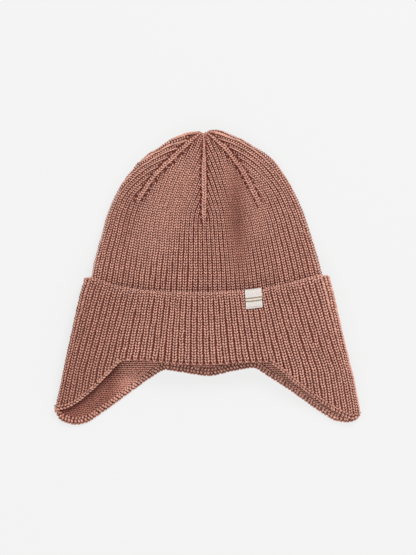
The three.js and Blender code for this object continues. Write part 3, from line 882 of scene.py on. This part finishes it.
def crown_rib(gore, offset, rings):
    """One rib of a gore, up to where it passes under the line beside it."""
    middle = FIRST_LINE + RIBS_PER_GORE * (gore + 0.5)
    begins = decreases_from(offset, gore)

    def rib_at(along, beside=0.0):
        return middle + (offset + beside) * RIBS_PER_GORE / ribs_left(along, begins)

    along, path, walked = path_of(rib_at)
    start = walked[np.argmax(path[:, 1] > cuff_top(rib_at(along)) - HIDDEN)]
    ended = ribs_left(along, begins) < 2 * abs(offset) + 0.8
    stop = walked[np.argmax(ended)] if ended.any() else walked[-1]
    rows = np.interp(np.arange(start, stop - 0.3 * ROW, ROW), walked, along)
    if len(rows) < 2:
        return None
    x, y = crown_knit(rib_at(rows), rows, LEG_INSET)[:, :2].T
    flat = flatness(x, y) if gore in FRONT_GORES else BACK_FLAT
    from_line = ribs_left(rows, begins) / 2 - abs(offset)
    # Painted shade: stitches just beside a line, where the ribs end at the holes, are darker.
    beside_line = (1 - smoothstep(from_line, 0.5, 1.7)) * smoothstep(rows, *LINE_START)
    beside_fold = 0.8 * smoothstep(np.abs(crown_cloth(rib_at(rows))[0]), 0.955, 0.985)
    return v_stitches(crown_knit, lambda u, v: rib_at(v, u), rows, np.gradient(rows),
                      np.maximum(flat, beside_fold), LEG_INSET, rings,
                      shade=shading(x, y) * (1 - 0.45 * beside_line), keep=clear_of_holes)


for gore in range(GORES):
    rings = 5 if gore in FRONT_GORES else 3
    ribs = [crown_rib(gore, offset, rings) for offset in range(1 - RIBS_PER_GORE // 2, RIBS_PER_GORE // 2)]
    parts = [crown_line(LINES[gore], rings)] + [part for part in ribs if part]
    make_strands(f"crown_gore_{gore + 1}", parts, crown_yarn)

# %% [markdown]
# The cuff's rows are counted up from its hem to a little way over its fold, so that every rib ends
# alike. A leg that would reach past a slanting hem is left out. The inner face of the back is seen
# under the front's hem, pulled nearly flat and leaning outward, so it gets stitches of its own.


# %% The cuff's stitches
HEM_MARGIN = 1.5
PAST_HEM = (-0.4, HEM_MARGIN - 1.1)
OVER_FOLD = 3.2
FRONT_LIGHT = (0.75, 1.03)
CLOSED = 0.1
OVER_FOLD_FLAT = 0.75
UNDER_LABEL = {"x": 38.8, "reach": 9, "drop": 16, "sunk": 0.75}
INNER_LEAN = 0.16
LEAN_FROM = 17
INNER_ROW = 1.9
INNER_LENGTH = 74
INNER_FLAT = 0.55
INNER_SIZE = 0.56
HEM_CHAIN_WIDTH = 4.6
LEVEL_HEM = (-72, -62, 50, 58)


def is_level(x, face):
    """1 along the middle of the front's hem, where it runs level, and 0 on the flaps and the back."""
    left, left_end, right_end, right = LEVEL_HEM
    return smoothstep(x, left, left_end) * (1 - smoothstep(x, right_end, right)) * (face > 0)


def above_hem(rib, below):
    """True for the legs whose lower end is above the hem."""
    start = rib[:, 0]
    hem = hem_height(start)
    level = is_level(cuff_point(start, hem, 0)[:, 0], cuff_cloth(start)[1])
    return below[:, 0] < cuff_top(start) - hem - mix(*PAST_HEM, level)


def rows_down(rib, start):
    """Distances below the fold at a pitch of one row, which end just above the hem."""
    ends = np.array([rib - 0.4, rib, rib + 0.4])
    lengths = cuff_top(ends) - hem_height(ends)
    first = start + np.mod(lengths[1] - HEM_MARGIN - start, ROW)
    return np.arange(first, lengths.max(), ROW)


def cuff_rib(rib, rings):
    """The outer face's stitches of one rib, from just over the fold down to the hem."""
    below = rows_down(rib, -OVER_FOLD)
    flat = CLOSED + OVER_FOLD_FLAT * smoothstep(-below, -6.5, -1.5)
    x = cuff_surface(np.full(len(below), rib), below, 0)[:, 0]
    on_front = float(cuff_cloth(np.array(rib))[1]) > 0
    beside = UNDER_LABEL["reach"] - np.abs(x - UNDER_LABEL["x"])
    pressed = smoothstep(beside, 0, 1) * smoothstep(UNDER_LABEL["drop"] - below, 0, 1) * on_front
    # Painted shade: the front's stitches are darker towards its left and a little lighter towards its right,
    # as if lit more from the right.
    shade = mix(*FRONT_LIGHT, smoothstep(x, -120, -30)) if on_front else 1.0
    return v_stitches(cuff_surface, lambda u, v: rib + u, below, -ROW, flat, LEG_INSET, rings,
                      outward=-1, raised=-UNDER_LABEL["sunk"] * pressed, shade=shade, keep=above_hem)


def inner_rib(rib, rings):
    """The inner face's stitches: two fine columns for each rib of the back, down to the hem."""
    start = float(cuff_top(np.array(rib))) - INNER_FROM
    lean = INNER_LEAN * np.clip((rib - 0.75 * RIBS) / 10, -1, 1)
    below = np.arange(start, start + INNER_LENGTH, INNER_ROW)

    def rib_at(beside, down):
        return rib + beside + lean * (down - start - LEAN_FROM)

    x, y = cuff_surface(rib_at(0, below), below, FLAP_WALL)[:, :2].T
    return v_stitches(cuff_surface, rib_at, below, -INNER_ROW, INNER_FLAT, FLAP_WALL - LEG_INSET, rings,
                      size=INNER_SIZE, raised=0.1, shade=under_hem(x, y),
                      keep=lambda ribs, down: above_hem(ribs, down + HEM_CHAIN_WIDTH))


for name, ribs, maker, rings, yarn in (
        ("cuff_front", np.arange(0, HALF), cuff_rib, 5, cuff_yarn),
        ("cuff_back", np.arange(HALF, RIBS), cuff_rib, 3, cuff_yarn),
        ("cuff_inner", np.arange(HALF - 1, RIBS + 1, 0.5), inner_rib, 4, inner_yarn_painted_lighter)):
    make_strands(name, [maker(rib + CUFF_PHASE, rings) for rib in ribs], yarn)

# %% [markdown]
# The hem is a cast-off edge. Along the flaps and the back it shows as a chain whose loops wrap round
# the single layer, slanting along it. Along the front's level middle the cloth rolls a little, so
# the chain lies behind, and each rib ends in a small U of yarn. Both are short bent strands: one
# thick cord would be simpler, but it would lose the separate loops that the eye reads as knitting.
# A row of LOOPS says how far a loop slants along the hem, the half turns where it starts and ends,
# its two radii, its height, how far it sits off the hem's line, its width, how much painted shade
# darkens it on the level hem, and its shade, a painted factor that darkens below 1 and lightens above 1.

# %% The hem's chain
LOOP_PITCH = 2.9
LOOP_JITTER = 0.25
LOOP_RINGS = 7
LOOP_SPREAD = (0.04, 0.1)
LOOP_THICK = 0.7
SMALLER_ON_LEVEL = 0.35
HEM_SIDES = 6
LOOPS = [(2.8, (-0.3, 1.2), (1.45, 0.8), 0, 0.2, 0.95, 0.8, 0.85),
         (-2.6, (0, 0.12), (1.95, 0), 1.1, -1.9, 0.7, 0, 0.65),
         (-0.9, (0.9, 1), (2.1, 0), 2.4, -1.6, 1.05, 0, 1.3),
         (0.9, (0.9, 1), (2.0, 0), 2.2, -4.2, 1.0, 0, 1.2)]
CURL = {"half_width": 0.25, "above": 2.2, "drop": 2.6, "sunk": 0.35, "rise": 0.65, "inset": 4}


def hem_line(rib, back):
    """The middle of the single layer, at a distance off the hem."""
    return cuff_point(rib, hem_height(rib) - back, FLAP_WALL / 2)


def hem_chain(slant, turns, radii, tall, back, width, level_fall, shade):
    """Loops at equal lengths along the hem: centre + a cos(turn) * out + b sin(turn) * off the cloth.

    The radii are a and b. A tall loop lies on the cloth's face, and the level hem has none."""
    fine = np.linspace(SIDE_RIBS, RIBS + SIDE_RIBS, 4000)
    walked = walked_along(hem_line(fine, back))
    starts = np.arange(0, walked[-1], walked[-1] / round(walked[-1] / LOOP_PITCH))
    starts = starts + rng.normal(0, LOOP_JITTER, len(starts))
    t = np.linspace(0, 1, LOOP_RINGS)
    at = np.interp(starts[:, None] + slant * (t - 0.5), walked, fine)
    middle = np.interp(starts, walked, fine)[:, None] + 0 * at
    centre = hem_line(at, back)
    tangent = unit(hem_line(middle + 0.3, back) - hem_line(middle - 0.3, back))
    out = normals(cuff_point, middle, hem_height(middle), FLAP_WALL / 2, 0.2)
    away = np.cross(out, tangent)
    away *= -np.sign(away[..., 1:2])
    level = is_level(centre[..., 0], cuff_cloth(at)[1])
    turn = (np.pi * mix(*turns, t))[None, :, None]
    around = out * np.cos(turn) + away * np.sin(turn)
    reach = out * np.cos(turn) * radii[0] + away * np.sin(turn) * radii[1]
    if tall:
        step = (0.5 * np.sin(np.pi * t) - 0.35)[None, :, None] * around
        reach = reach + step + away * (tall * (t - 0.5))[None, :, None]
    grown = 1 + rng.normal(0, LOOP_SPREAD[0], (len(starts), 1, 1))
    centre = centre + reach * (1 - SMALLER_ON_LEVEL * level[..., None]) * grown
    swell = (0.6 + 0.4 * np.sin(np.pi * t)) * (1 + rng.normal(0, LOOP_SPREAD[1], (len(starts), 1)))
    points, height = swept(centre, around, swell * width, swell * LOOP_THICK, HEM_SIDES)
    shown = level[:, 0] < (0.5 if tall else 2)
    x, y = np.moveaxis(centre[shown][..., :2], -1, 0)
    # Painted shade and light: the inner rows follow how much light reaches under the front's hem, level_fall
    # darkens loops on the level hem, and each row's shade darkens it below 1 and lightens it above 1.
    lit = np.sqrt(under_hem(x, y)) if turns[0] > 0.5 else 1.0
    fall = lit * shade * (1 - level_fall * level[shown])
    values = yarn_values(t, height, len(x), 0.2, fall[..., None])
    return points[shown], tube_faces(len(x), LOOP_RINGS, HEM_SIDES), values


def hem_curls(rings=8):
    """A U for each rib of the front's level hem: across = -w cos(pi t), down = drop * sin(pi t)^0.8."""
    rib = np.arange(float(HALF))[:, None] + CUFF_PHASE
    x = hem_line(rib, 0.0)[:, 0, 0]
    rib = rib[(x > LEVEL_HEM[0] + CURL["inset"]) & (x < LEVEL_HEM[3] - CURL["inset"])]
    t = np.linspace(0, 1, rings)
    bulge = np.sin(np.pi * t)
    at = rib - CURL["half_width"] * np.cos(np.pi * t)
    below = cuff_top(at) - hem_height(at) - CURL["above"] + CURL["drop"] * bulge**0.8
    out = -normals(cuff_surface, at, below, LEG_INSET)
    lift = CURL["rise"] * bulge**0.5 - CURL["sunk"]
    centre = cuff_surface(at, below, LEG_INSET) + out * lift[None, :, None]
    swell = (0.75 + 0.25 * bulge) * (1 + rng.normal(0, 0.05, (len(rib), 1)))
    points, height = swept(centre, out, swell * 0.62, swell * 0.58, HEM_SIDES)
    return points, tube_faces(len(rib), rings, HEM_SIDES), yarn_values(t, height, len(rib), 0.15, 0.75)


loops = [hem_chain(*row) for row in LOOPS]
make_strands("hem_chain", loops + [hem_curls()], cuff_yarn)

# %% [markdown]
# The label is a strip of woven tape sewn over the cuff's fold. It is one thin closed sheet that
# follows the fold and then hangs down the front, just clear of the stitches. Its weave is far finer
# than a stitch, so it is a bump of warp and weft, counted in the strip's own millimetres. The
# stripes are plain: nothing is written or drawn on it. A row of short stitches holds its lower end.

# %% The label
LABEL = {"width": 14.0, "drop": 13.4, "x": 38.6, "turn": 4.5, "over": 100, "proud": 0.2, "thick": 0.45}
LABEL_WHITE = colour(214, 207, 201)
LABEL_EDGE = colour(222, 216, 211)
LABEL_BROWN = colour(146, 126, 96)
LABEL_THREAD = colour(150, 136, 127)
LABEL_OVER = np.radians(LABEL["over"]) * (CUFF_WALL / 2 + LABEL["proud"])
WEAVE = 0.36
STRIPES = (4.6, 7.2)
STRIPE_HALF_WIDTH = 0.6
SELVEDGE_FROM = 6.2
SEAM = {"above": 1.3, "half_length": 6.3, "dash": 0.75, "sunk": 0.12, "rise": 0.26, "radius": 0.2}


def front_top(x):
    """The fold's height over a place on the front, found along all ribs."""
    rib = np.linspace(SIDE_RIBS, HALF - SIDE_RIBS, 1200)
    height = cuff_top(rib)
    return np.interp(x, cuff_x(cuff_cloth(rib)[0], 1, height, 0), height)


def front_height(x, y):
    """The height of the cuff's outside over a place on its front."""
    middle, half_width, edge, dome = cuff_section(y)
    return tube_height(np.clip((x - middle) / half_width, -1, 1), 1, edge - PRESS, edge, dome, 0)


def label_point(across, down, proud):
    """On the strip: mm from its middle, mm down from the fold (less than 0 goes over it), mm proud."""
    turn = np.radians(LABEL["turn"])
    fold_x = LABEL["x"] + across * np.cos(turn)
    fold_y = front_top(fold_x)
    radius = CUFF_WALL / 2 + proud
    angle = np.clip(-down / (CUFF_WALL / 2 + LABEL["proud"]), 0, np.pi)
    drop = np.maximum(down, 0)
    x, y = fold_x + drop * np.sin(turn), fold_y - drop * np.cos(turn)
    over_z = front_height(fold_x, fold_y) - CUFF_WALL / 2 + radius * np.cos(angle)
    z = np.where(down < 0, over_z, front_height(x, y) + proud)
    return np.stack([x, y + radius * np.sin(angle), z], -1)


def label_strip(columns=29, rows=58):
    """A closed loop of two faces for every step down the strip, with flat ends."""
    across = np.linspace(-0.5, 0.5, columns) * LABEL["width"]
    proud = LABEL["proud"] + np.repeat([LABEL["thick"], 0], columns)
    down, both = np.meshgrid(np.linspace(-LABEL_OVER, LABEL["drop"], rows),
                             np.concatenate([across, across[::-1]]), indexing="ij")
    ring = np.arange(columns - 1)
    cap = np.stack([ring, ring + 1, 2 * columns - 2 - ring, 2 * columns - 1 - ring], -1)
    faces = [grid_faces(rows, 2 * columns), cap, cap[:, ::-1] + (rows - 1) * 2 * columns]
    return label_point(both, down, proud[None, :]), faces, {"across": both, "down": down}


def label_finish():
    """Warp and weft as a bump, two plain stripes across and slightly lighter selvedges."""
    made = Finish("label_weave", Roughness=0.8, Sheen_Weight=0.15)
    across, down = made.attribute("across"), made.attribute("down")
    warp, weft = (made.node("ShaderNodeMath", {"operation": "SINE"}, {0: way * (2 * np.pi / WEAVE)})
                  for way in (across, down))
    to_stripes = {k: abs(down - stripe) for k, stripe in enumerate(STRIPES)}
    nearest = made.node("ShaderNodeMath", {"operation": "MINIMUM"}, to_stripes)
    ground = made.blend(abs(across) > SELVEDGE_FROM, LABEL_WHITE, LABEL_EDGE)
    ground = made.blend(nearest < STRIPE_HALF_WIDTH, ground, LABEL_BROWN)
    shade = 0.95 + 0.05 * (warp * weft)
    tone = made.node("ShaderNodeCombineColor", {}, {0: shade, 1: shade, 2: shade})
    made.feed("Base Color", made.blend(1.0, ground, tone, "MULTIPLY"))
    made.bump(warp * weft, 0.0001, 0.7)
    return made.material


def label_stitching(dashes=11, rings=5):
    """Short running stitches a little above the label's lower end, sunk at both their ends."""
    t = np.linspace(0, 1, rings)
    first = (np.arange(dashes) + 0.5) / dashes * (2 * SEAM["half_length"]) - SEAM["half_length"]
    across = first[:, None] + SEAM["dash"] * (t - 0.5)
    lift = LABEL["proud"] + LABEL["thick"] - SEAM["sunk"] + SEAM["rise"] * np.sin(np.pi * t)
    down = np.full_like(across, LABEL["drop"] - SEAM["above"])
    centre = label_point(across, down, lift + 0 * across)
    out = np.broadcast_to(np.array([0.0, 0.0, 1.0]), centre.shape)
    width = np.full_like(across, SEAM["radius"])
    return swept(centre, out, width, width, HEM_SIDES)[0], tube_faces(dashes, rings, HEM_SIDES)


label_cloth = label_finish()
label_thread = Finish("label_thread", Roughness=0.85, Base_Color=LABEL_THREAD).material
points, faces, values = label_strip()
label = make_piece("label_tape", points, faces, label_cloth,
                   {key: value.ravel() for key, value in values.items()})
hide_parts("label")
points, faces = label_stitching()
make_piece("label_seam", points, faces, label_thread)

# %% [markdown]
# The stage: a plain pale floor, an even white surround and three soft lights, with a long lens
# straight above the hat, as the photograph was taken. The strongest light stands past the crown,
# up and to the right, so that each row's crest is lit and the valleys between ribs stay dark.

# %% Camera, floor and light
PIXEL = 0.85
FRAME_PIXELS = (416, 555)
CAMERA_HEIGHT = 3.0
CAMERA_TRUE_AT = 0.010
SENSOR = 36.0
FLOOR_REACH = 4.0
FLOOR_BELOW = 1e-4
SURROUND = 0.7
FLOOR_GLOW = 0.765
LIGHTS = {"key": ((0.85, 1.4, 1.7), 0.7, 39), "fill": ((-1.2, -0.4, 1.6), 1.6, 5),
          "low": ((0.2, -1.7, 1.2), 0.9, 10)}
scene = bpy.context.scene
scene.view_settings.view_transform = "Standard"


def make_camera():
    """A long lens straight above, whose frame's long side takes in so many millimetres."""
    lens = bpy.data.cameras.new("camera")
    lens.sensor_width = SENSOR
    lens.lens = SENSOR * (CAMERA_HEIGHT - CAMERA_TRUE_AT) / (FRAME_PIXELS[1] * PIXEL * MM)
    lens.clip_end = 20
    camera = bpy.data.objects.new("camera", lens)
    camera.location = (0.5 * PIXEL * MM, -0.5 * PIXEL * MM, CAMERA_HEIGHT)
    scene.collection.objects.link(camera)
    scene.camera = camera


def make_light(name, place, size, power):
    """A square area light that looks at the hat."""
    lamp = bpy.data.lights.new(name, "AREA")
    lamp.size, lamp.energy = size, power
    light = bpy.data.objects.new(name, lamp)
    light.location = place
    light.rotation_euler = (-Vector(place)).to_track_quat("-Z", "Y").to_euler()
    scene.collection.objects.link(light)


def make_floor():
    """A wide pale square, whose finish glows a little so that shadows stay faint."""
    corners = [(x * FLOOR_REACH, y * FLOOR_REACH, -FLOOR_BELOW)
               for x, y in ((-1, -1), (1, -1), (1, 1), (-1, 1))]
    mesh = bpy.data.meshes.new("floor")
    mesh.from_pydata(corners, [], [(0, 1, 2, 3)])
    made = Finish("floor_paper", Roughness=0.9, Base_Color=(0.10, 0.10, 0.10, 1),
                  Emission_Color=(1, 1, 1, 1), Emission_Strength=FLOOR_GLOW)
    made.shader.inputs["Specular IOR Level"].default_value = 0.0
    mesh.materials.append(made.material)
    floor = bpy.data.objects.new("floor", mesh)
    scene.collection.objects.link(floor)


make_camera()
make_floor()
for name, (place, size, power) in LIGHTS.items():
    make_light(name, place, size, power)
world = bpy.data.worlds.new("surround")
world.use_nodes = True
white, strength = world.node_tree.nodes["Background"].inputs[:2]
white.default_value = (1, 1, 1, 1)
strength.default_value = SURROUND
scene.world = world
